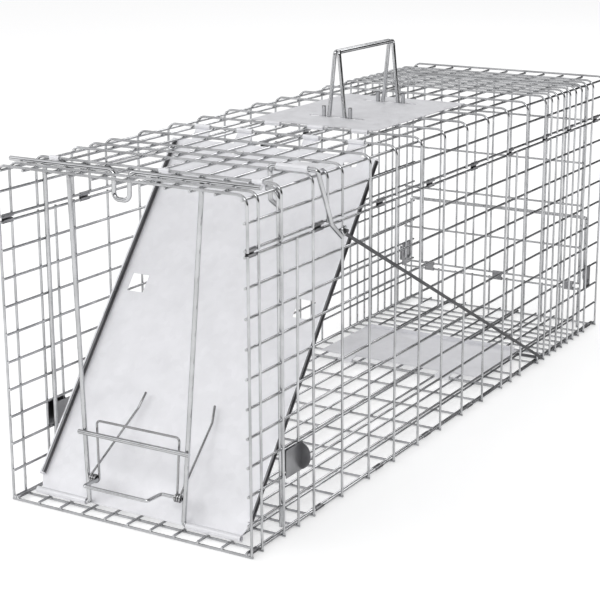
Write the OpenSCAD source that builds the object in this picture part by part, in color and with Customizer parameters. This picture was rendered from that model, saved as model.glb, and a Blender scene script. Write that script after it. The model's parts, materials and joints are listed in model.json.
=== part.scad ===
// Live catch trap: a collapsible cage of welded wire mesh with one sloping sheet door,
// a lock bail, a trip pan that works a trigger rod and arm, and a rear panel that folds in.
// Millimetres, +Z up. X runs across the cage, Y from the door end to the rear.

/* [Cage] */
// Width of the cage
cage_w = 254; // [250:1:258]
// Height of the cage
cage_h = 304.8; // [304:0.2:306]
// Length of the cage from the front wire to the rear wire
cage_l = 777; // [776:1:790]
// Diameter of the mesh wire
mesh_d = 2.3; // [2:0.1:2.4]
// Diameter of the heavy wire in the bails, brace, handle and trigger arm
heavy_d = 4; // [3.6:0.1:4]
// Diameter of the trigger rod
rod_d = 3.2; // [2.8:0.1:3.2]
// Diameter of the spring wire
spring_d = 2; // [1.8:0.1:2.4]

/* [Mesh] */
// Distance between the wires that run along the cage
mesh_pitch = 24.2; // [24:0.1:24.3]
// Distance between the rings of wire that run around the cage
ring_pitch = 49.6; // [49.4:0.1:49.7]
// Distance between the rings in the close-set rear stretch
rear_pitch = 17.7; // [17.5:0.1:17.8]
// Height of the side panels, up to the seam with the roof panel
side_h = 255.2; // [255:0.1:255.4]

/* [Door] */
// Angle of the shut door above the floor
door_lean = 51.3; // [51:0.1:51.6]
// Width of the door plate
door_w = 221; // [210:1:221]
// Distance from the door's hinge wire to its bottom hem
door_l = 378; // [376:1:378]
// Thickness of the sheet parts
sheet_t = 0.8; // [0.6:0.1:0.9]
// Lean of the lock bail from upright
bail_lean = 2.3; // [2:0.1:2.6]

/* [Handle and pan] */
// Height of the carrying handle's grip above the roof
handle_h = 65; // [50:1:80]
// Length of the carrying handle's grip
handle_l = 113; // [100:1:120]
// Width of the trip pan
pan_w = 196; // [180:1:200]
// Length of the trip pan behind its hinge
pan_l = 116; // [112:1:117]

/* [Hidden] */

wire_fn = 24;
// Gap that keeps wires that are welded together apart as separate bodies
weld_gap = 0.02;
// How far a straight wire enters a bend, and how much thicker the bend is
bend_lap = 0.05;
bend_swell = 0.02;
// Running clearance of a sleeve round its wire
sleeve_gap = 0.06;
// Shift that puts the origin under the middle of the whole trap
trap_shift = [-1, -cage_l / 2 + 5, 0];

mesh_r = mesh_d / 2;
heavy_r = heavy_d / 2;
rod_r = rod_d / 2;
half_w = cage_w / 2;
// Depth from an outer wire's axis to the axis of the wire welded inside it
layer = mesh_d + weld_gap;
ring_x = half_w - mesh_r;
long_x = ring_x - layer;
roof_z = cage_h - mesh_r;
roof_long_z = roof_z - layer;
floor_long_z = mesh_r + layer;
corner_r = 9;
heavy_bend = 3.2;

// Places of the rings along the cage
front_ys = [1.2, 17];
first_ring = 51.6;
ring_ys = [for (k = [0:11]) first_ring + k * ring_pitch];
rear_ys = [for (k = [1:8]) ring_ys[11] + k * rear_pitch];
last_y = cage_l - mesh_r;
all_ys = concat(front_ys, ring_ys, rear_ys, [last_y]);
lower_only_ys = [75.4, 523];
roof_only_y = 125.5;
hinge_y = ring_ys[4];
cross_xs = [for (k = [-5:5]) k * mesh_pitch];

// Levels of the side panel's long wires and of the roof panel's lowest two
side_zs = [for (k = [0:10]) floor_long_z + k * (side_h - 1.2 - floor_long_z) / 10];
roof_seam_z = side_h + 3.8;
roof_side_zs = [roof_seam_z, roof_seam_z + 22];

clip_l = 12.5;
clip_wall = 0.7;
roof_clip_ys = [9.1, 114, 224, 324, 422, 510, 606, 676.8, 757];
floor_clip_ys = [9.1, 114, 224, 324, 422, 510, 659.1, 757];

sleeve_l = 17;
brace_y = 56.5;
brace_z = roof_long_z - mesh_r - heavy_r - weld_gap;
brace_x = long_x - mesh_r - heavy_r - weld_gap;

// Door: places are measured down the plate from its hinge
door_sleeve_xs = [-84.5, -36.5, 36.5, 84.5];
door_sleeve_r = mesh_r + sleeve_gap + 1;
door_back = -2.1;
plate_top = 14;
hem_z = 0.85;
hem_wall = 0.95;
hem_inner_r = heavy_r + sleeve_gap;
flange_r = 2.6;
flange_start = 15;
window_w = 18;
window_x = 90;
window_s = 168;

// Lock bail: places are measured up the bail from its hinge in the door's hem
bail_foot_x = 50;
bail_top_x = 68;
bail_l = 296.4;
bail_hem_x = 53.5;
cross_brace_s = 64.5;
spring_bar_s = 23;
crank_out = 20.5;
crank_xs = [-40, 27];
loop_x = -12.1;
loop_w = 16;
loop_drop = 24;
loop_r = 5.5;
bar_left = -131;
bar_right = 124;
hem_place = [0, -door_l * cos(door_lean) - hem_z * sin(door_lean),
  -door_l * sin(door_lean) + hem_z * cos(door_lean)];

// Trigger arm and rod
arm_y = 95.5;
arm_z = cage_h + 3.4;
arm_inner_x = 88;
arm_outer_x = 133.6;
rod_x = half_w + rod_r + 0.7;
eye_y = 139.5;
eye_z = 249;
eye_r = 3.25;
rod_end_y = 602;
rod_end_z = 6.8;
rod_reach = 62;

// Guard plate and carrying handle
handle_x = 5;
guard_x0 = -64;
guard_x1 = 76;
guard_y0 = ring_ys[5];
guard_y1 = ring_ys[9] - 1;
guard_z = cage_h + 0.1;
guard_sleeve_xs = [-36.5, 12.1, 60.5];
slot_ys = [353, 353 + handle_l];

// Trip pan
pan_hinge_y = 488;
pan_hinge_z = floor_long_z + layer;
pan_z = 8.9;
pan_sleeve_xs = [-60.5, 60.5];

// Rear end
rear_y = 739;
rear_hinge_z = 53;
rear_bottom_z = 60;
rear_top_z = 296;
rear_x = 117;
rear_pitch_x = 23.2;
rear_xs = [for (k = [-5:5]) k * rear_pitch_x];
rear_level_zs = [rear_bottom_z, 104, 155, 206, 257, rear_top_z];
rear_sleeve_xs = [-81.2, 11.6, 104.4];
lock_y = 757;
lock_z = 60;
lock_x = 117;
lock_h = 77;

function unit(v) = v / norm(v);

// Everything is drawn with X from the cage's middle and Y from its front wire
module in_cage() {
  translate(trap_shift) children();
}

// A straight round wire from a to b
module straight(a, b, d) {
  v = b - a;
  translate(a) rotate([0, acos(v.z / norm(v)), atan2(v.y, v.x)])
    cylinder(d = d, h = norm(v), $fn = wire_fn);
}

// A bend of radius r at a corner, between the directions u (in) and v (out)
module bend(corner, u, v, r, d) {
  turn = acos(u * v);
  side = unit(v - u * (u * v));
  start = corner - u * r * tan(turn / 2);
  centre = start + side * r;
  axis = cross(-side, u);
  multmatrix([
    [-side.x, u.x, axis.x, centre.x],
    [-side.y, u.y, axis.y, centre.y],
    [-side.z, u.z, axis.z, centre.z],
    [0, 0, 0, 1]
  ]) rotate_extrude(angle = turn, $fn = 48) translate([r, 0]) circle(d = d, $fn = wire_fn);
}

// A round wire through the points, with every corner bent to radius r. A bend is a hair
// thicker than the straight wire that enters it, so that the two join in a clean circle.
module bent_wire(points, d, r) {
  last = len(points) - 1;
  ways = [for (i = [0:last - 1]) unit(points[i + 1] - points[i])];
  cuts = [for (i = [0:last])
    i == 0 || i == last ? 0 : r * tan(acos(ways[i - 1] * ways[i]) / 2) - bend_lap];
  union() {
    for (i = [0:last - 1])
      straight(points[i] + ways[i] * cuts[i], points[i + 1] - ways[i] * cuts[i + 1], d);
    for (i = [1:last - 1]) bend(points[i], ways[i - 1], ways[i], r, d + bend_swell);
  }
}

// A sleeve round a wire that runs along X
module sleeve_x(x, y, z, inner_r, outer_r, length) {
  translate([x - length / 2, y, z]) rotate([0, 90, 0]) difference() {
    cylinder(r = outer_r, h = length, $fn = wire_fn * 2);
    translate([0, 0, -1]) cylinder(r = inner_r, h = length + 2, $fn = wire_fn * 2);
  }
}

// An arch of wire over the cage's width, with its legs reaching down to foot_z
module arch(y, x, top_z, foot_z, d) {
  bent_wire([[-x, y, foot_z], [-x, y, top_z], [x, y, top_z], [x, y, foot_z]], d, corner_r);
}

module floor_panel() {
  color("gainsboro") in_cage() {
    for (x = cross_xs) straight([x, 0, floor_long_z], [x, cage_l, floor_long_z], mesh_d);
    for (y = concat(all_ys, lower_only_ys))
      straight([-half_w, y, mesh_r], [half_w, y, mesh_r], mesh_d);
  }
}

// One side panel; side is -1 for the left and 1 for the right
module side_panel(side) {
  color("silver") in_cage() {
    for (z = side_zs) straight([side * long_x, 0, z], [side * long_x, cage_l, z], mesh_d);
    for (y = concat(all_ys, lower_only_ys))
      straight([side * ring_x, y, mesh_d + weld_gap], [side * ring_x, y, side_h], mesh_d);
  }
}

module left_side_panel() {
  side_panel(-1);
}

module right_side_panel() {
  side_panel(1);
}

module roof_panel() {
  roof_ys = [for (y = concat(all_ys, [roof_only_y])) if (y != hinge_y) y];
  // The long wire in each top edge lies in the inside of the arches' bends
  tuck = (corner_r - mesh_d - weld_gap) * sqrt(1 / 2);
  edge_x = ring_x - corner_r + tuck;
  edge_z = roof_z - corner_r + tuck;
  color("silver") in_cage() {
    for (k = [1:9])
      straight([cross_xs[k], 0, roof_long_z], [cross_xs[k], cage_l, roof_long_z], mesh_d);
    for (side = [-1, 1]) {
      straight([side * edge_x, 0, edge_z], [side * edge_x, cage_l, edge_z], mesh_d);
      for (z = roof_side_zs) straight([side * long_x, 0, z], [side * long_x, cage_l, z], mesh_d);
    }
    for (y = roof_ys) arch(y, ring_x, roof_z, roof_seam_z - 1.4, mesh_d);
  }
}

module door_hinge_wire() {
  color("silver") in_cage() arch(hinge_y, ring_x, roof_z, roof_seam_z - 1.4, mesh_d);
}

module pan_hinge_wire() {
  half = long_x - mesh_d;
  color("silver") in_cage()
    straight([-half, pan_hinge_y, pan_hinge_z], [half, pan_hinge_y, pan_hinge_z], mesh_d);
}

module front_brace_frame() {
  foot = floor_long_z + mesh_r + heavy_r + weld_gap;
  color("lightgray") in_cage() arch(brace_y, brace_x, brace_z, foot, heavy_d);
}

// Folded straps that hang the brace from the roof's first full ring
module brace_sleeves() {
  strap_l = 10;
  strap_wall = 0.9;
  drop_y = brace_y - first_ring;
  drop_z = brace_z - roof_z;
  color("darkgray") in_cage() for (x = [-104, 12.1, 104]) difference() {
    union() {
      sleeve_x(x, brace_y, brace_z, heavy_r, heavy_r + strap_wall, strap_l);
      sleeve_x(x, first_ring, roof_z, mesh_r, mesh_r + strap_wall, strap_l);
      translate([x - strap_l / 2, first_ring, roof_z]) rotate([atan2(drop_z, drop_y), 0, 0])
        translate([0, 0, -sheet_t / 2]) cube([strap_l, norm([drop_y, drop_z]), sheet_t]);
    }
    translate([x - strap_l, brace_y, brace_z]) rotate([0, 90, 0])
      cylinder(r = heavy_r + sleeve_gap, h = 2 * strap_l, $fn = 48);
    translate([x - strap_l, first_ring, roof_z]) rotate([0, 90, 0])
      cylinder(r = mesh_r + sleeve_gap, h = 2 * strap_l, $fn = 48);
  }
}

// A crimped clip that holds two long wires together; a and b are their places in XZ
module clip(y, a, b) {
  low_x = min(a.x, b.x) - mesh_r - clip_wall;
  low_z = min(a.y, b.y) - mesh_r - clip_wall;
  size_x = abs(a.x - b.x) + mesh_d + 2 * clip_wall;
  size_z = abs(a.y - b.y) + mesh_d + 2 * clip_wall;
  difference() {
    translate([low_x, y - clip_l / 2, low_z]) cube([size_x, clip_l, size_z]);
    for (p = [a, b]) translate([p.x, y - clip_l, p.y]) rotate([-90, 0, 0])
      cylinder(r = mesh_r + weld_gap, h = 2 * clip_l, $fn = wire_fn * 2);
  }
}

module roof_clips(side) {
  color("gray") in_cage() for (y = roof_clip_ys)
    clip(y, [side * long_x, side_zs[10]], [side * long_x, roof_seam_z]);
}

module floor_clips(side) {
  color("gray") in_cage() for (y = floor_clip_ys)
    clip(y, [side * long_x, floor_long_z], [side * cross_xs[10], floor_long_z]);
}

module left_roof_clips() {
  roof_clips(-1);
}

module right_roof_clips() {
  roof_clips(1);
}

module left_floor_clips() {
  floor_clips(-1);
}

module right_floor_clips() {
  floor_clips(1);
}

// Sheet channel round a side wall's wires, with a rounded finger tab turned out at its rear
module door_stop(side) {
  stop_y = 53;
  stop_l = 25.5;
  stop_z = 52.5;
  stop_h = 25;
  web_h = 16;
  tab_out = 8.5;
  tab_r = 13.4;
  end_y = stop_y + stop_l - sheet_t;
  mid_z = stop_z + stop_h / 2;
  outer_x = half_w + 0.05;
  inner_x = long_x - mesh_r - 0.2 - sheet_t;
  inner_h = stop_h - 5.4;
  // The inner leaf starts behind the front brace
  inner_y = brace_y + heavy_r + 0.3;
  color("darkgray") in_cage() mirror([side < 0 ? 1 : 0, 0, 0]) union() {
    translate([outer_x, stop_y, stop_z]) cube([sheet_t, stop_l, stop_h]);
    translate([inner_x, inner_y, mid_z - inner_h / 2])
      cube([sheet_t, end_y + sheet_t - inner_y, inner_h]);
    translate([inner_x, end_y, mid_z - web_h / 2]) cube([outer_x + sheet_t - inner_x, sheet_t, web_h]);
    difference() {
      translate([outer_x + sheet_t + tab_out - tab_r, end_y, mid_z]) rotate([-90, 0, 0])
        cylinder(r = tab_r, h = sheet_t, $fn = 64);
      translate([outer_x - 2 * tab_r, end_y - 1, mid_z - tab_r - 1])
        cube([2 * tab_r + sheet_t / 2, sheet_t + 2, 2 * tab_r + 2]);
    }
  }
}

module left_door_stop() {
  door_stop(-1);
}

module right_door_stop() {
  door_stop(1);
}

module guard_plate() {
  slot_w = 5.6;
  slot_l = 62;
  color("whitesmoke") in_cage() difference() {
    union() {
      translate([guard_x0, guard_y0 + 2.2, guard_z])
        cube([guard_x1 - guard_x0, guard_y1 - guard_y0 - 2.2, sheet_t]);
      for (x = guard_sleeve_xs) {
        sleeve_x(x, guard_y0, roof_z, mesh_r, mesh_r + 1.05, sleeve_l);
        translate([x - sleeve_l / 2, guard_y0, guard_z]) cube([sleeve_l, 3, sheet_t]);
      }
    }
    for (x = guard_sleeve_xs) translate([x - sleeve_l, guard_y0, roof_z]) rotate([0, 90, 0])
      cylinder(r = mesh_r + sleeve_gap, h = 2 * sleeve_l, $fn = 48);
    for (y = slot_ys) translate([handle_x - slot_l / 2, y - slot_w / 2, guard_z - 1])
      cube([slot_l, slot_w, sheet_t + 2]);
  }
}

// One of the two wires of the A-shaped handle; its feet turn up again through the plate's slots
module handle_wire(side) {
  grip_x = handle_x + side * (heavy_r + 0.15);
  foot_x = handle_x + side * 9.2;
  stub_x = handle_x + side * 14.8;
  stub_z = cage_h + 11;
  grip_z = cage_h + handle_h;
  low_z = guard_z - heavy_r - 0.3;
  y0 = slot_ys[0];
  y1 = slot_ys[1];
  color("lightgray") in_cage() bent_wire([
    [stub_x, y0, stub_z], [stub_x, y0, low_z], [foot_x, y0, low_z], [grip_x, y0, grip_z],
    [grip_x, y1, grip_z], [foot_x, y1, low_z], [stub_x, y1, low_z], [stub_x, y1, stub_z]
  ], heavy_d, 2.4);
}

module handle_left_wire() {
  handle_wire(-1);
}

module handle_right_wire() {
  handle_wire(1);
}

// Sheet plate on the roof whose front edge is rolled into the trigger arm's bearing
module trigger_bracket() {
  x0 = 95;
  x1 = 125;
  tube_r = 3;
  plate_l = 36;
  plate_z = arm_z - tube_r + 0.1;
  color("whitesmoke") in_cage() difference() {
    union() {
      translate([x0, arm_y, plate_z]) cube([x1 - x0, plate_l, sheet_t]);
      translate([x0, arm_y, arm_z]) rotate([0, 90, 0]) cylinder(r = tube_r, h = x1 - x0, $fn = 48);
    }
    translate([x0 - 1, arm_y, arm_z]) rotate([0, 90, 0])
      cylinder(r = heavy_r + sleeve_gap, h = x1 - x0 + 2, $fn = 48);
  }
}

module rear_lower_strip() {
  // The upright wires stand on the floor panel's long wires
  foot = floor_long_z + mesh_r + weld_gap;
  color("silver") in_cage() {
    straight([-rear_x, rear_y, rear_hinge_z], [rear_x, rear_y, rear_hinge_z], mesh_d);
    for (x = rear_xs)
      straight([x, rear_y + layer, foot], [x, rear_y + layer, rear_hinge_z + 1], mesh_d);
  }
}

// Sheet bracket inside a side wall, bored for the rear lock bail's pin
module rear_bracket(side) {
  bracket_x = long_x - mesh_r - 0.1 - sheet_t;
  bracket_y = 743;
  bracket_l = 20;
  bracket_z = 51;
  bracket_h = 28;
  tab_x = long_x + 2;
  tab_z = 58;
  tab_h = 18;
  color("darkgray") in_cage() mirror([side < 0 ? 1 : 0, 0, 0]) difference() {
    union() {
      translate([bracket_x, bracket_y, bracket_z]) cube([sheet_t, bracket_l, bracket_h]);
      translate([bracket_x, bracket_y, tab_z]) cube([tab_x - bracket_x, sheet_t, tab_h]);
    }
    translate([bracket_x - 1, lock_y, lock_z]) rotate([0, 90, 0])
      cylinder(r = heavy_r + sleeve_gap, h = 4, $fn = 48);
  }
}

module left_rear_bracket() {
  rear_bracket(-1);
}

module right_rear_bracket() {
  rear_bracket(1);
}

// The door's own frame: Y runs up the plate to the hinge, Z stands out of its front face
module on_door() {
  in_cage() translate([0, hinge_y, roof_z]) rotate([door_lean, 0, 0]) children();
}

module door_plate() {
  plate_y0 = -door_l;
  chamfer = 14;
  foot_in = 6;
  half = door_w / 2;
  flange_l = door_l - flange_start - plate_top - 2;
  flange_z = door_back + flange_r - 0.2;
  slot_y = -plate_top - 9;
  slot_half = 5;
  slot_r = 2.2;
  tube_l = half - 2.5 - bail_hem_x;
  color("whitesmoke") on_door() difference() {
    union() {
      translate([0, 0, door_back]) linear_extrude(sheet_t) polygon([
        [-half, -plate_top], [-half, plate_y0 + chamfer], [-half + foot_in, plate_y0],
        [half - foot_in, plate_y0], [half, plate_y0 + chamfer], [half, -plate_top]
      ]);
      for (x = door_sleeve_xs) {
        translate([x - sleeve_l / 2, -plate_top - 1, door_back]) cube([sleeve_l, plate_top + 1, sheet_t]);
        translate([x - sleeve_l / 2, 0, 0]) rotate([0, 90, 0])
          cylinder(r = door_sleeve_r, h = sleeve_l, $fn = 48);
      }
      for (side = [-1, 1]) {
        translate([side * half, plate_y0 + flange_start, flange_z]) rotate([-90, 0, 0])
          cylinder(r = flange_r, h = flange_l, $fn = 48);
        translate([side > 0 ? bail_hem_x : -bail_hem_x - tube_l, plate_y0, hem_z]) rotate([0, 90, 0])
          cylinder(r = hem_inner_r + hem_wall, h = tube_l, $fn = 48);
      }
    }
    for (x = door_sleeve_xs) translate([x - sleeve_l, 0, 0]) rotate([0, 90, 0])
      cylinder(r = mesh_r + sleeve_gap, h = 2 * sleeve_l, $fn = 48);
    for (side = [-1, 1]) {
      translate([side * half, plate_y0 + flange_start - 1, flange_z]) rotate([-90, 0, 0])
        cylinder(r = flange_r - sheet_t, h = door_l, $fn = 48);
      translate([side > 0 ? bail_hem_x - 1 : -half, plate_y0, hem_z]) rotate([0, 90, 0])
        cylinder(r = hem_inner_r, h = half - bail_hem_x + 1, $fn = 48);
      translate([side * window_x - window_w / 2, -window_s - window_w / 2, door_back - 1])
        cube([window_w, window_w, sheet_t + 2]);
    }
    for (x = door_sleeve_xs) translate([x, slot_y, door_back - 1]) {
      translate([-slot_half, -slot_r, 0]) cube([2 * slot_half, 2 * slot_r, sheet_t + 2]);
      for (end = [-slot_half, slot_half]) translate([end, 0, 0])
        cylinder(r = slot_r, h = sheet_t + 2, $fn = 32);
    }
  }
}

// The lock bail's own frame: X along its hinge pins, Z up its legs
module on_bail() {
  in_cage() translate([0, hinge_y, roof_z] + hem_place) rotate([-bail_lean, 0, 0]) children();
}

module bail_frame() {
  pin_end = 80;
  leg_top = bail_l - heavy_r - 0.1;
  brace_out = 0.3 - heavy_d;
  brace_half = 58;
  color("lightgray") on_bail() {
    for (side = [-1, 1]) bent_wire([
      [side * pin_end, 0, 0], [side * bail_foot_x, 0, 0], [side * bail_top_x, 0, leg_top]
    ], heavy_d, heavy_bend);
    straight([-brace_half, brace_out, cross_brace_s], [brace_half, brace_out, cross_brace_s], heavy_d);
  }
}

module bail_top_bar() {
  loop_low = bail_l - loop_drop;
  color("lightgray") on_bail() bent_wire([
    [bar_left, 0, bail_l], [loop_x - loop_w / 2, 0, bail_l], [loop_x - loop_w / 2, 0, loop_low],
    [loop_x + loop_w / 2, 0, loop_low], [loop_x + loop_w / 2, 0, bail_l], [bar_right, 0, bail_l]
  ], heavy_d, loop_r);
}

// Cranked wire between the bail's legs that carries the door spring's coils
module spring_bar() {
  end_x = bail_foot_x + spring_bar_s * (bail_top_x - bail_foot_x) / bail_l - heavy_r - 0.1;
  bar_d = 3;
  color("lightgray") on_bail() bent_wire([
    [-end_x, 0, spring_bar_s], [crank_xs[0], 0, spring_bar_s], [crank_xs[0], -crank_out, spring_bar_s],
    [crank_xs[1], -crank_out, spring_bar_s], [crank_xs[1], 0, spring_bar_s], [end_x, 0, spring_bar_s]
  ], bar_d, 3);
}

// Double torsion spring: a coil beside each leg, an arch between them and two prongs on the door
module door_spring() {
  coil_x = 44.5;
  coil_l = 7;
  coil_r = 4.2;
  bore_r = 1.8;
  bridge_out = 3.2;
  bridge_top = 75;
  prong_out = 3.4;
  prong_knee = [40, 36, 58];
  prong_tip = [38, 45, 78];
  color("dimgray") on_bail() {
    for (side = [-1, 1]) {
      sleeve_x(side * coil_x, 0, spring_bar_s, bore_r, coil_r, side < 0 ? coil_l - 1 : coil_l);
      bent_wire([
        [side * (coil_x - 1), prong_out, spring_bar_s + 1],
        [side * prong_knee.x, prong_knee.y, prong_knee.z],
        [side * prong_tip.x, prong_tip.y, prong_tip.z]
      ], spring_d, 3);
    }
    bent_wire([
      [-coil_x, bridge_out, spring_bar_s + 2], [-coil_x, bridge_out, bridge_top],
      [coil_x, bridge_out, bridge_top], [coil_x, bridge_out, spring_bar_s + 2]
    ], spring_d, 3);
  }
}

// Cranked arm: a hook inside the cage, a straight bearing length, and an eye outside the wall
module trigger_arm() {
  hook = [arm_inner_x, arm_y + 9, arm_z - 35];
  hook_knee = [arm_inner_x, arm_y, arm_z - 29];
  elbow = [arm_outer_x, 119.1, 257.6];
  tip = [arm_outer_x, 136.4, 244];
  eye_d = 2.6;
  color("lightgray") in_cage() union() {
    bent_wire([
      hook, hook_knee, [arm_inner_x, arm_y, arm_z], [arm_outer_x, arm_y, arm_z], elbow, tip
    ], heavy_d, heavy_bend);
    translate([arm_outer_x, eye_y, eye_z]) rotate([0, 90, 0])
      rotate_extrude($fn = 48) translate([eye_r, 0]) circle(d = eye_d, $fn = wire_fn);
  }
}

module trigger_rod() {
  pin_end = arm_outer_x + 4;
  color("dimgray") in_cage() bent_wire([
    [pin_end, eye_y, eye_z], [rod_x, eye_y, eye_z],
    [rod_x, rod_end_y, rod_end_z], [rod_reach, rod_end_y, rod_end_z]
  ], rod_d, 2.2);
}

module trip_pan() {
  ramp = 8;
  ramp_rise = atan2(pan_z - pan_hinge_z - 1.4, ramp);
  lip_h = 5;
  lip_in = 3;
  half = pan_w / 2;
  color("whitesmoke") in_cage() difference() {
    union() {
      translate([-half, pan_hinge_y + ramp, pan_z]) cube([pan_w, pan_l - ramp, sheet_t]);
      translate([-half + lip_in, pan_hinge_y + pan_l - 1, pan_z]) cube([pan_w - 2 * lip_in, 1, lip_h]);
      for (x = pan_sleeve_xs) {
        translate([x - sleeve_l / 2, pan_hinge_y, pan_hinge_z]) rotate([0, 90, 0])
          cylinder(r = mesh_r + sleeve_gap + 0.9, h = sleeve_l, $fn = 48);
        translate([x - sleeve_l / 2, pan_hinge_y, pan_hinge_z + 1.3]) rotate([ramp_rise, 0, 0])
          cube([sleeve_l, ramp + 1, sheet_t]);
      }
    }
    for (x = pan_sleeve_xs) translate([x - sleeve_l, pan_hinge_y, pan_hinge_z]) rotate([0, 90, 0])
      cylinder(r = mesh_r + sleeve_gap, h = 2 * sleeve_l, $fn = 48);
  }
}

module rear_panel() {
  color("silver") in_cage() {
    for (z = rear_level_zs) straight([-rear_x, rear_y, z], [rear_x, rear_y, z], mesh_d);
    for (x = rear_xs)
      straight([x, rear_y + layer, rear_bottom_z - 1.4], [x, rear_y + layer, rear_top_z + 1], mesh_d);
  }
}

// Folded straps that join the rear panel's bottom wire to the hinge wire below it
module rear_hinge_sleeves() {
  strap_r = mesh_r + 0.9;
  strap_l = 12;
  color("dimgray") in_cage() for (x = rear_sleeve_xs) difference() {
    union() {
      for (z = [rear_hinge_z, rear_bottom_z]) translate([x - strap_l / 2, rear_y, z])
        rotate([0, 90, 0]) cylinder(r = strap_r, h = strap_l, $fn = 48);
      translate([x - strap_l / 2, rear_y - strap_r + 0.1, rear_hinge_z])
        cube([strap_l, sheet_t, rear_bottom_z - rear_hinge_z]);
    }
    for (z = [rear_hinge_z, rear_bottom_z]) translate([x - strap_l, rear_y, z]) rotate([0, 90, 0])
      cylinder(r = mesh_r + sleeve_gap, h = 2 * strap_l, $fn = 48);
  }
}

// Heavy arch that swings up behind the rear panel to keep it shut
module rear_lock_bail() {
  pin_end = lock_x + 7;
  color("lightgray") in_cage() bent_wire([
    [-pin_end, lock_y, lock_z], [-lock_x, lock_y, lock_z], [-lock_x, lock_y, lock_z + lock_h],
    [lock_x, lock_y, lock_z + lock_h], [lock_x, lock_y, lock_z], [pin_end, lock_y, lock_z]
  ], heavy_d, heavy_bend);
}

floor_panel();
left_side_panel();
right_side_panel();
roof_panel();
door_hinge_wire();
pan_hinge_wire();
front_brace_frame();
brace_sleeves();
left_roof_clips();
right_roof_clips();
left_floor_clips();
right_floor_clips();
left_door_stop();
right_door_stop();
guard_plate();
handle_left_wire();
handle_right_wire();
trigger_bracket();
rear_lower_strip();
left_rear_bracket();
right_rear_bracket();
door_plate();
bail_frame();
bail_top_bar();
spring_bar();
door_spring();
trigger_arm();
trigger_rod();
trip_pan();
rear_panel();
rear_hinge_sleeves();
rear_lock_bail();
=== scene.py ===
"""Looks of a live catch trap: galvanised mesh, sheet steel door, pan and guard, bent heavy wires."""
import json
import math
import random

import bmesh
import bpy
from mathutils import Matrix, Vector


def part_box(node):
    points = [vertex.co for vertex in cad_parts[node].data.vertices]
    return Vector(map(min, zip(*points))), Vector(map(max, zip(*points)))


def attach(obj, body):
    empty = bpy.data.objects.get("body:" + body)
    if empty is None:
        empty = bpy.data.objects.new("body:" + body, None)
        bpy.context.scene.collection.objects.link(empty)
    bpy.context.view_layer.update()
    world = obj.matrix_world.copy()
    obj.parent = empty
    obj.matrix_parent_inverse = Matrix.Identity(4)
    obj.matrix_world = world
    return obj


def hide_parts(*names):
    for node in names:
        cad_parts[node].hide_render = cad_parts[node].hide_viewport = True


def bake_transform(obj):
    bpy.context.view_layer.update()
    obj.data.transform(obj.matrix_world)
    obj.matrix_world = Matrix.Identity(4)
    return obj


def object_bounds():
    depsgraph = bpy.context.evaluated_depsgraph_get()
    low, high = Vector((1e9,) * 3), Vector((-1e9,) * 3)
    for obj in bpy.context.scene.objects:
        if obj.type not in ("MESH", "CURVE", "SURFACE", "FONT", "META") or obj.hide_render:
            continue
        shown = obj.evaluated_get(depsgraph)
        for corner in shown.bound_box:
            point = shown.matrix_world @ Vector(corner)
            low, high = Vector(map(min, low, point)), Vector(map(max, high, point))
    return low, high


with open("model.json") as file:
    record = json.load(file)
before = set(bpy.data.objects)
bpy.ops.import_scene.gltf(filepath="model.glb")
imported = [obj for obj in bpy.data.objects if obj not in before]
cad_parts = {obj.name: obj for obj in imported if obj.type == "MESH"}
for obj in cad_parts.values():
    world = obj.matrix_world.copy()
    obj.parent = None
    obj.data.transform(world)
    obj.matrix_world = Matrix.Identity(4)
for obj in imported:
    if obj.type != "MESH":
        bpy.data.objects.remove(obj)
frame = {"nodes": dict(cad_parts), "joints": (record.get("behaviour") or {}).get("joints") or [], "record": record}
cad_low, cad_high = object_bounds()
random.seed(7)

MM = 0.001
MESH_R = 1.15 * MM          # mesh wire
HEAVY_R = 2.0 * MM          # bails, brace, handle and arm
SPRING_R = 1.0 * MM         # door spring
DOOR_LEAN = 51.3            # degrees above the floor, shut
joints = {j["name"]: j for j in frame["joints"]}

# Camera: turn and tilt in degrees, distance and aim in metres.
SENSOR_MM, LENS_MM = 36, 96.7
SHIFT_X, SHIFT_Y = -0.054, -0.04
CAMERA_TURN, CAMERA_TILT = 29.87, 14.81
CAMERA_DISTANCE = 1.68
FAR_CLIP = 50
AIM_FROM_FLOOR_CENTRE = Vector((-0.0209, 0.0034, 0.1317))

# Surround: its grey at and below the horizon, at bands of the direction's height, and overhead.
HORIZON_GREY, OVERHEAD_GREY = 0.03, 0.9
SKY_BANDS = ((0.22, 0.06), (0.36, 1.0), (0.62, 1.05), (0.80, 0.42))
SKY_BLUE = 1.01             # blue against red and green in the bands
DARK_SIDE = Vector((0.84, 0.5, 0.2))    # the right rear, where the surround is darker
SIDE_FROM, SIDE_TO = (0.1, 0.8), (1.3, 0.08)

# Floor: a pale sheet just under the trap, slightly glowing so that no hard shadow falls.
FLOOR_SIZE, FLOOR_DROP = 40, 0.0002
FLOOR_GREY, FLOOR_ROUGHNESS, FLOOR_GLOW = 0.80, 0.9, 0.4

# Lights: name, place, target, size in metres, and power in watts.
LIGHTS = (
    ("key", (1.7, -2.4, 2.5), (0, 0, 0.1), (1.2, 1.0), 26),
    ("fill", (-2.6, -1.4, 0.9), (0, 0, 0.15), (0.7, 1.6), 12),
    ("rim", (0.2, 2.8, 2.2), (0, 0, 0.2), (2.4, 0.6), 16),
)

# Texture scales of the steel: its clouds, its fine grain and the flakes of its zinc.
CLOUD_SCALE, GRAIN_SCALE, FLAKE_SCALE = 45.0, 900.0, 160.0
CLOUD_DETAIL, GRAIN_DETAIL = 6.0, 4.0
CLOUD_RAMP = (0.35, 0.65)
HIGH_STREAK = 0.6           # how far the clouds lighten, against how far they darken
ROUGH_RANGE = (0.85, 1.2)   # least and most roughness, as shares of the stated one
GRAIN_DEPTH = 0.0002

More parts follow.
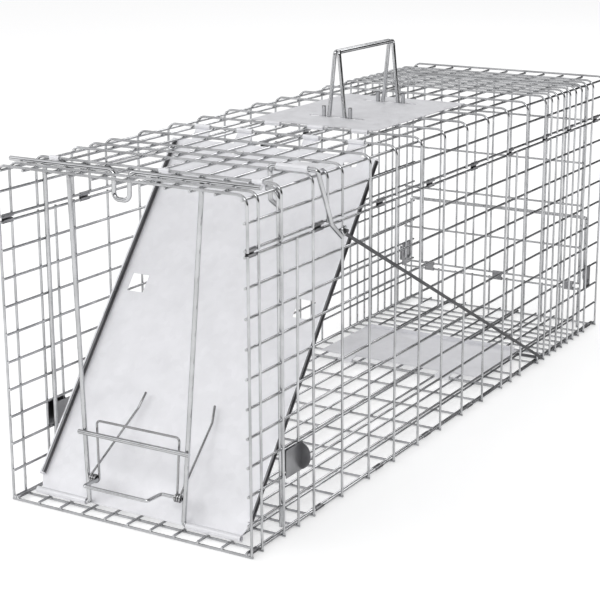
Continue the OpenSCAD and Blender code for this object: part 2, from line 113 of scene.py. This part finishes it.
# Swept wires: corners straighter than this, in radians, stay as they are, and tips are rounded by a share.
STRAIGHT, TIP_SHARE = 0.01, 0.35
SAME_POINT = 1e-6           # CAD vertices this near belong to one solid

# Weld beads: half sizes, how much they vary, and how long a panel's main wires are at least.
BEAD = Vector((1.35, 1.12, 1.3)) * MM
BEAD_SIDES, BEAD_LEVELS = 8, (-0.5, 0.5)
BEAD_LEAST, BEAD_VARIES = 0.9, 0.12
LONG_WIRE, FLAT_WIRE = 0.2, 0.01
BESIDE = 3 * MESH_R         # a long wire this near an arch's top or side touches it there
WELDED_PANELS = (("floor_panel", "cage"), ("left_side_panel", "cage"), ("right_side_panel", "cage"),
                 ("roof_panel", "cage"), ("rear_panel", "rear_panel"))

# Clips, in metres: their sheet, their waist, the gap to the CAD clip's box, and rows as (place, size).
CLIP_NODES = ("left_roof_clips", "right_roof_clips", "left_floor_clips", "right_floor_clips")
CLIP_SHEET, CLIP_WAIST, CLIP_MARGIN = 0.0006, 0.0004, 0.00004
CLIP_STEPS = 40
CLIP_SEAM = 0.035           # share of the turn left open at each side of the seam
CLIP_FLATNESS = 1.6         # above 1 the long sides run straight
WAIST_FROM = 0.6            # a clip longer than this share of its end radius has a waist
CLIP_ROWS = ((-1.0, 1.0), (-0.8, 0.97), (0.8, 0.97), (1.0, 1.0))

# Painted shade on the door's folded edges: a dark strip laid just over the inner turn of each, in mm and degrees,
# in the door's own frame.
LIP_R, LIP_LIFT, LIP_HEM, LIP_OUT = 2.6, 0.06, 0.05, 0.3
LIP_FIRST, LIP_LAST, LIP_STEPS = -40.0, 80.0, 12
LIP_STATIONS = (-362.0, -280.0, -190.0, -100.0, -18.0)

# Door spring, in mm and degrees, in the bail's own frame.
COIL_UP, COIL_R, COIL_PITCH, COIL_OUTER_X = 23.0, 2.9, 2.35, 47.5
COIL_WINDS, COIL_STEPS = 3, 72
PRONG_RISE = 43.6
PRONGS = ((-1, -36.0, -33.5), (1, 43.0, 40.0))      # side, x of the bend, x of the tip
PRONG_BEND_AT, PRONG_TIP_AT, PRONG_BEND_R = (53.0, 74.5), (61.5, 87.5), 4
ARCH_X, ARCH_BACK, ARCH_UP, ARCH_BEND_R = 43.5, 0.3, 75.0, 3.5


# ---------------------------------------------------------------- camera, light and stage
def look_along(obj, azimuth, elevation):
    """Turns obj's -Z axis along the view: azimuth from +Y towards -X, elevation downwards."""
    a, e = math.radians(azimuth), math.radians(elevation)
    forward = Vector((-math.sin(a) * math.cos(e), math.cos(a) * math.cos(e), -math.sin(e)))
    obj.rotation_euler = forward.to_track_quat("-Z", "Y").to_euler()
    return forward


def make_camera():
    floor_centre = Vector(((cad_low.x + cad_high.x) / 2, (cad_low.y + cad_high.y) / 2, cad_low.z))
    data = bpy.data.cameras.new("camera")
    data.sensor_width = SENSOR_MM
    data.lens = LENS_MM
    data.shift_x = SHIFT_X
    data.shift_y = SHIFT_Y
    data.clip_end = FAR_CLIP
    cam = bpy.data.objects.new("camera", data)
    bpy.context.scene.collection.objects.link(cam)
    forward = look_along(cam, CAMERA_TURN, CAMERA_TILT)
    cam.location = floor_centre + AIM_FROM_FLOOR_CENTRE - forward * CAMERA_DISTANCE
    bpy.context.scene.camera = cam


def area_light(name, place, target, size, power):
    data = bpy.data.lights.new(name, "AREA")
    data.shape = "RECTANGLE"
    data.size, data.size_y = size
    data.energy = power
    lamp = bpy.data.objects.new(name, data)
    bpy.context.scene.collection.objects.link(lamp)
    lamp.location = place
    lamp.rotation_euler = (Vector(target) - Vector(place)).to_track_quat("-Z", "Y").to_euler()


def add_node(tree, kind, **values):
    """A shader node with some inputs set. An underscore in an input's name stands for a space."""
    node = tree.nodes.new("ShaderNode" + kind)
    for name, value in values.items():
        node.inputs[name.replace("_", " ")].default_value = value
    return node


def make_world():
    """A soft studio surround: dark low down for the wires to reflect, bright above, dimmer overhead."""
    world = bpy.data.worlds.new("studio")
    bpy.context.scene.world = world
    world.use_nodes = True
    tree = world.node_tree
    tree.nodes.clear()
    link = tree.links.new
    coords = add_node(tree, "TexCoord")
    split = add_node(tree, "SeparateXYZ")
    ramp = add_node(tree, "ValToRGB")
    glow = add_node(tree, "Background")
    out = add_node(tree, "OutputWorld")
    stops = ramp.color_ramp.elements
    for stop, place, grey in ((stops[0], 0.0, HORIZON_GREY), (stops[1], 1.0, OVERHEAD_GREY)):
        stop.position, stop.color = place, (grey, grey, grey, 1)
    for place, grey in SKY_BANDS:
        stops.new(place).color = (grey, grey, grey * SKY_BLUE, 1)
    link(coords.outputs["Generated"], split.inputs[0])
    link(split.outputs["Z"], ramp.inputs[0])

    side = add_node(tree, "VectorMath")
    side.operation = "DOT_PRODUCT"
    side.inputs[1].default_value = DARK_SIDE
    link(coords.outputs["Generated"], side.inputs[0])
    fall = add_node(tree, "MapRange", From_Min=SIDE_FROM[0], From_Max=SIDE_FROM[1],
                    To_Min=SIDE_TO[0], To_Max=SIDE_TO[1])
    link(side.outputs["Value"], fall.inputs["Value"])
    link(ramp.outputs[0], glow.inputs["Color"])
    link(fall.outputs[0], glow.inputs["Strength"])
    link(glow.outputs[0], out.inputs[0])


def make_stage():
    bpy.ops.mesh.primitive_plane_add(size=FLOOR_SIZE, location=(0, 0, cad_low.z - FLOOR_DROP))
    floor = bpy.context.object
    floor.name = "floor"
    material = bpy.data.materials.new("floor_paper")
    material.use_nodes = True
    shader = material.node_tree.nodes["Principled BSDF"]
    shader.inputs["Base Color"].default_value = (FLOOR_GREY, FLOOR_GREY, FLOOR_GREY, 1)
    shader.inputs["Roughness"].default_value = FLOOR_ROUGHNESS
    shader.inputs["Specular IOR Level"].default_value = 0.0
    shader.inputs["Emission Color"].default_value = (1, 1, 1, 1)
    shader.inputs["Emission Strength"].default_value = FLOOR_GLOW
    floor.data.materials.append(material)


# ---------------------------------------------------------------- materials
def steel(name, tint, roughness, spangle=0.0, streak=0.1, bump=0.05, edge=0.5, metallic=1.0):
    """Galvanised steel: cloudy tint, roughness that varies, fine grain and, on sheet, a zinc spangle."""
    material = bpy.data.materials.new(name)
    material.use_nodes = True
    tree = material.node_tree
    link = tree.links.new
    shader = tree.nodes["Principled BSDF"]
    shader.inputs["Metallic"].default_value = metallic
    shader.inputs["Specular Tint"].default_value = (edge, edge, edge, 1)
    place = add_node(tree, "TexCoord").outputs["Object"]

    cloud = add_node(tree, "TexNoise", Scale=CLOUD_SCALE, Detail=CLOUD_DETAIL)
    link(place, cloud.inputs["Vector"])
    ramp = add_node(tree, "ValToRGB")
    low = [c * (1 - streak) for c in tint]
    high = [min(1.0, c * (1 + streak * HIGH_STREAK)) for c in tint]
    for stop, at, shade in zip(ramp.color_ramp.elements, CLOUD_RAMP, (low, high)):
        stop.position, stop.color = at, (*shade, 1)
    link(cloud.outputs["Fac"], ramp.inputs[0])
    colour, rough_source = ramp.outputs[0], cloud.outputs["Fac"]

    if spangle:
        cells = add_node(tree, "TexVoronoi", Scale=FLAKE_SCALE)
        link(place, cells.inputs["Vector"])
        grey = add_node(tree, "SeparateColor")
        link(cells.outputs["Color"], grey.inputs[0])
        flake = add_node(tree, "MapRange", To_Min=1 - spangle, To_Max=1.0)
        link(grey.outputs[0], flake.inputs["Value"])
        mix = add_node(tree, "Mix")
        mix.data_type = "RGBA"
        mix.blend_type = "MULTIPLY"
        mix.inputs["Factor"].default_value = 1.0
        link(colour, mix.inputs["A"])
        link(flake.outputs[0], mix.inputs["B"])
        colour, rough_source = mix.outputs["Result"], grey.outputs[1]
    link(colour, shader.inputs["Base Color"])

    rough = add_node(tree, "MapRange", To_Min=roughness * ROUGH_RANGE[0],
                     To_Max=roughness * ROUGH_RANGE[1])
    link(rough_source, rough.inputs["Value"])
    link(rough.outputs[0], shader.inputs["Roughness"])

    fine = add_node(tree, "TexNoise", Scale=GRAIN_SCALE, Detail=GRAIN_DETAIL)
    link(place, fine.inputs["Vector"])
    relief = add_node(tree, "Bump", Strength=bump, Distance=GRAIN_DEPTH)
    link(fine.outputs["Fac"], relief.inputs["Height"])
    link(relief.outputs[0], shader.inputs["Normal"])
    return material


MATERIALS = {
    "mesh_wire": steel("galvanised_mesh", (0.53, 0.535, 0.545), 0.11, streak=0.2, edge=0.05),
    "heavy_wire": steel("galvanised_wire", (0.56, 0.565, 0.575), 0.09, streak=0.15, edge=0.05),
    "sheet_steel": steel("galvanised_sheet", (0.86, 0.86, 0.885), 0.42, spangle=0.035, streak=0.03,
                         bump=0.03, metallic=0.35),
    "strap_steel": steel("galvanised_strap", (0.36, 0.36, 0.37), 0.30, streak=0.2, edge=0.1),
    "spring_steel": steel("spring_wire", (0.40, 0.40, 0.405), 0.18, streak=0.15, edge=0.05),
    # rod_steel dresses the rods and also the door's dark strip of painted shade.
    "rod_steel": steel("rod_wire", (0.13, 0.13, 0.135), 0.28, streak=0.2),
}


def dress_nodes():
    """Each CAD node gets the material of its slot."""
    slots = {s["node"]: s["material_slot"] for s in frame["record"]["subparts"]}
    for name, obj in frame["nodes"].items():
        material = MATERIALS[slots[name]]
        if not obj.data.materials:
            obj.data.materials.append(material)
        for i in range(len(obj.data.materials)):
            obj.data.materials[i] = material


def add_piece(name, bm, body, slot, smooth=True):
    """Makes a piece of the mesh, on the given body if there is one."""
    mesh = bpy.data.meshes.new(name)
    bmesh.ops.recalc_face_normals(bm, faces=bm.faces)
    bm.to_mesh(mesh)
    bm.free()
    for face in mesh.polygons:
        face.use_smooth = smooth
    obj = bpy.data.objects.new(name, mesh)
    bpy.context.scene.collection.objects.link(obj)
    mesh.materials.append(MATERIALS[slot])
    if body:
        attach(obj, body)
    return obj


# ---------------------------------------------------------------- shapes
def loose_boxes(node):
    """The box of each separate solid in a CAD node, as (low corner, high corner)."""
    bm = bmesh.new()
    bm.from_mesh(frame["nodes"][node].data)
    bmesh.ops.remove_doubles(bm, verts=bm.verts, dist=SAME_POINT)
    seen, boxes = set(), []
    for start in bm.verts:
        if start in seen:
            continue
        seen.add(start)
        stack = [start]
        low, high = start.co.copy(), start.co.copy()
        while stack:
            v = stack.pop()
            low = Vector(map(min, low, v.co))
            high = Vector(map(max, high, v.co))
            for edge in v.link_edges:
                other = edge.other_vert(v)
                if other not in seen:
                    seen.add(other)
                    stack.append(other)
        boxes.append((low, high))
    bm.free()
    return boxes


def band(bm, first, second, closed=True):
    """Faces between two rows of the same number of points."""
    count = len(first)
    for k in range(count if closed else count - 1):
        n = (k + 1) % count
        bm.faces.new((first[k], first[n], second[n], second[k]))


def rounded(corners, bend, steps=8):
    """The corners' path with an arc of radius bend at each inner corner."""
    path = [corners[0]]
    for before, corner, after in zip(corners, corners[1:], corners[2:]):
        u, v = (corner - before).normalized(), (after - corner).normalized()
        turn = u.angle(v)
        if turn < STRAIGHT:
            continue
        side = (v - u * u.dot(v)).normalized()
        start = corner - u * bend * math.tan(turn / 2)
        centre = start + side * bend
        for i in range(steps + 1):
            t = turn * i / steps
            path.append(centre - side * bend * math.cos(t) + u * bend * math.sin(t))
    path.append(corners[-1])
    return path


def sweep(bm, path, radius, sides=14):
    """A round wire along the path, closed at both ends with a slightly rounded tip."""
    last = len(path) - 1
    ways = [(path[min(i + 1, last)] - path[max(i - 1, 0)]).normalized() for i in range(last + 1)]
    across = ways[0].orthogonal().normalized()
    rings = []
    tip = radius * TIP_SHARE
    stations = [(path[0], ways[0], radius - tip)]
    stations += [(p + ways[i] * (tip if i == 0 else -tip if i == last else 0), ways[i], radius)
                 for i, p in enumerate(path)]
    stations += [(path[-1], ways[-1], radius - tip)]
    for place, way, size in stations:
        across = (across - way * across.dot(way)).normalized()
        up = way.cross(across)
        ring = []
        for k in range(sides):
            a = 2 * math.pi * k / sides
            ring.append(bm.verts.new(place + (across * math.cos(a) + up * math.sin(a)) * size))
        rings.append(ring)
    for low, high in zip(rings, rings[1:]):
        band(bm, low, high)
    bm.faces.new(rings[0][::-1])
    bm.faces.new(rings[-1])


# ---------------------------------------------------------------- weld beads
def add_bead(bm, place, size):
    """A small flattened bead where two wires are welded."""
    low_end, high_end = [bm.verts.new(place + Vector((0, 0, s * size.z))) for s in (-1, 1)]
    rings = []
    for level in BEAD_LEVELS:
        reach = math.sqrt(1 - level * level)
        ring = []
        for k in range(BEAD_SIDES):
            a = 2 * math.pi * k / BEAD_SIDES
            ring.append(bm.verts.new(place + Vector((
                size.x * reach * math.cos(a), size.y * reach * math.sin(a), size.z * level))))
        rings.append(ring)
    low, high = rings
    for k in range(BEAD_SIDES):
        n = (k + 1) % BEAD_SIDES
        bm.faces.new((low_end, low[n], low[k]))
        bm.faces.new((low[k], low[n], high[n], high[k]))
        bm.faces.new((high_end, high[k], high[n]))


def toward_arch(place, centre, size):
    """Moves a long roof wire's place half a wire out, to where it touches the arch around it."""
    half = size.x / 2 - MESH_R
    top = centre.z + size.z / 2 - MESH_R
    side = math.copysign(1, place.x - centre.x)
    out = place.copy()
    if place.z > top - BESIDE:
        out.z = (place.z + top) / 2
    elif abs(place.x - centre.x) > half - BESIDE:
        out.x = (place.x + centre.x + side * half) / 2
    else:
        out += Vector((side, 0, 1)).normalized() * MESH_R
    return out


def weld_beads(node, body):
    """Beads at the crossings of a panel's wires: long ones run along Y or X, the others cross them."""
    wires = [((low + high) / 2, high - low) for low, high in loose_boxes(node)]
    main = "x" if node == "rear_panel" else "y"

    def is_long(size):
        return getattr(size, main) > LONG_WIRE and size.z < FLAT_WIRE

    longs = [centre for centre, size in wires if is_long(size)]
    others = [(centre, size) for centre, size in wires if not is_long(size)]
    bm = bmesh.new()
    for long_centre in longs:
        for centre, size in others:
            place = long_centre.copy()
            if main == "x":
                place.x = centre.x
                place.y = (long_centre.y + centre.y) / 2
            else:
                place.y = centre.y
                if node == "roof_panel":
                    place = toward_arch(place, centre, size)
                elif size.z > size.x:
                    place.x = (long_centre.x + centre.x) / 2
                else:
                    place.z = (long_centre.z + centre.z) / 2
            swell = BEAD_LEAST + BEAD_VARIES * random.random()
            add_bead(bm, place, BEAD * swell)
    add_piece(node + "_welds", bm, body, "mesh_wire")


# ---------------------------------------------------------------- crimped clips
def crimp(bm, low, high):
    """A strip of sheet bent round two wires: a pill-shaped sleeve with a waist and an open seam."""
    centre = (low + high) / 2
    size = high - low
    upright = size.z > size.x
    outer = min(size.x, size.z) / 2 - CLIP_MARGIN
    reach = max(size.x, size.z) / 2 - outer - CLIP_MARGIN
    has_waist = reach > outer * WAIST_FROM
    loops = []
    for radius in (outer, outer - CLIP_SHEET):
        loop = []
        for i in range(CLIP_STEPS + 1):
            t = 2 * math.pi * (CLIP_SEAM + (1 - 2 * CLIP_SEAM) * i / CLIP_STEPS)
            along = reach * max(-1.0, min(1.0, CLIP_FLATNESS * math.sin(t)))
            pinch = CLIP_WAIST * max(0.0, 1 - abs(along) / reach) if has_waist else 0.0
            loop.append(((radius - pinch) * math.cos(t),
                         along + radius * math.sin(t) * abs(math.sin(t))))
        loops.append(loop)
    outline = loops[0] + loops[1][::-1]
    half_length = size.y / 2
    rings = []
    for share, flare in CLIP_ROWS:
        ring = []
        for out, up in outline:
            x, z = (out, up) if upright else (up, out)
            ring.append(bm.verts.new(centre + Vector((x * flare, half_length * share, z * flare))))
        rings.append(ring)
    for near, far in zip(rings, rings[1:]):
        band(bm, near, far)
    last = len(outline) - 1
    for ring in (rings[0], rings[-1]):
        for k in range(CLIP_STEPS):
            bm.faces.new((ring[k], ring[k + 1], ring[last - 1 - k], ring[last - k]))


def make_clips():
    for node in CLIP_NODES:
        bm = bmesh.new()
        for low, high in loose_boxes(node):
            crimp(bm, low, high)
        clips = add_piece(node + "_crimped", bm, "cage", "strap_steel", smooth=False)
        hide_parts(node)


# ---------------------------------------------------------------- painted shade on the door's folded edges
def door_place(x, along, out):
    """A point of the door's own frame: X across, along up the plate to its hinge, out of its front."""
    hinge = Vector(joints["door_swing"]["pos_m"])
    low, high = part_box("door_plate")
    lean = math.radians(DOOR_LEAN)
    middle = (low.x + high.x) / 2
    return Vector((middle + x * MM,
                   hinge.y + (along * math.cos(lean) - out * math.sin(lean)) * MM,
                   hinge.z + (along * math.sin(lean) + out * math.cos(lean)) * MM))


def make_door_lip_shade():
    """A dark strip of painted shade, laid just over the inner turn of the folded edge along each side of the door.
    """
    low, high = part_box("door_plate")
    side_x = (high.x - low.x) / 2 / MM - LIP_R
    bm = bmesh.new()
    for side in (-1, 1):
        rows = []
        for along in LIP_STATIONS:
            row = []
            for i in range(LIP_STEPS + 1):
                a = math.radians(LIP_FIRST + (LIP_LAST - LIP_FIRST) * i / LIP_STEPS)
                reach = LIP_R + LIP_LIFT - (LIP_HEM if i in (0, LIP_STEPS) else 0.0)
                row.append(bm.verts.new(door_place(
                    side * side_x + reach * math.cos(a), along, LIP_OUT + reach * math.sin(a))))
            rows.append(row)
        for lower, upper in zip(rows, rows[1:]):
            band(bm, lower, upper, closed=False)
    # The strip is painted shade: dark steel just over the rolled edge stands in for the shadow inside its turn.
    add_piece("door_edge_turns", bm, "door", "rod_steel")


# ---------------------------------------------------------------- door spring
def bail_place(x, back, up):
    """A point of the lock bail's own frame: X across, back behind the bail, up along its legs."""
    pivot = Vector(joints["bail_swing"]["pos_m"])
    low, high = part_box("bail_top_bar")
    rise = Vector((0, (low.y + high.y) / 2 - pivot.y, high.z - HEAVY_R - pivot.z)).normalized()
    rear = Vector((0, rise.z, -rise.y))
    return Vector((pivot.x + x * MM, pivot.y, pivot.z)) + rear * back * MM + rise * up * MM


def make_door_spring():
    """One wire: prong, coil, arch, coil, prong. The coils turn on the cranked spring bar."""
    start_turn = math.radians(PRONG_RISE) + math.pi / 2
    turns = 2 * math.pi * COIL_WINDS - start_turn
    halves = []
    for side, bend_x, tip_x in PRONGS:
        coil = []
        for i in range(COIL_STEPS + 1):
            a = start_turn + turns * i / COIL_STEPS
            x = side * (COIL_OUTER_X - COIL_PITCH * (a - start_turn) / (2 * math.pi))
            coil.append(bail_place(x, COIL_R * math.cos(a), COIL_UP + COIL_R * math.sin(a)))
        prong = rounded([bail_place(tip_x, *PRONG_TIP_AT), bail_place(bend_x, *PRONG_BEND_AT),
                         coil[0]], PRONG_BEND_R * MM)
        halves.append(prong[:-1] + coil)
    left, right = halves
    arch = rounded([left[-1], bail_place(-ARCH_X, COIL_R + ARCH_BACK, ARCH_UP),
                    bail_place(ARCH_X, COIL_R + ARCH_BACK, ARCH_UP), right[-1]], ARCH_BEND_R * MM)
    bm = bmesh.new()
    sweep(bm, left[:-1] + arch + right[::-1][1:], SPRING_R)
    spring = add_piece("door_spring_wire", bm, None, "spring_steel")
    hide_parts("door_spring")
    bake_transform(spring)


# ---------------------------------------------------------------- the scene
make_camera()
make_world()
make_stage()
for light in LIGHTS:
    area_light(*light)
dress_nodes()
for panel, body in WELDED_PANELS:
    weld_beads(panel, body)
make_clips()
make_door_spring()
make_door_lip_shade()
bpy.context.scene.view_settings.view_transform = "Standard"

bpy.context.view_layer.update()
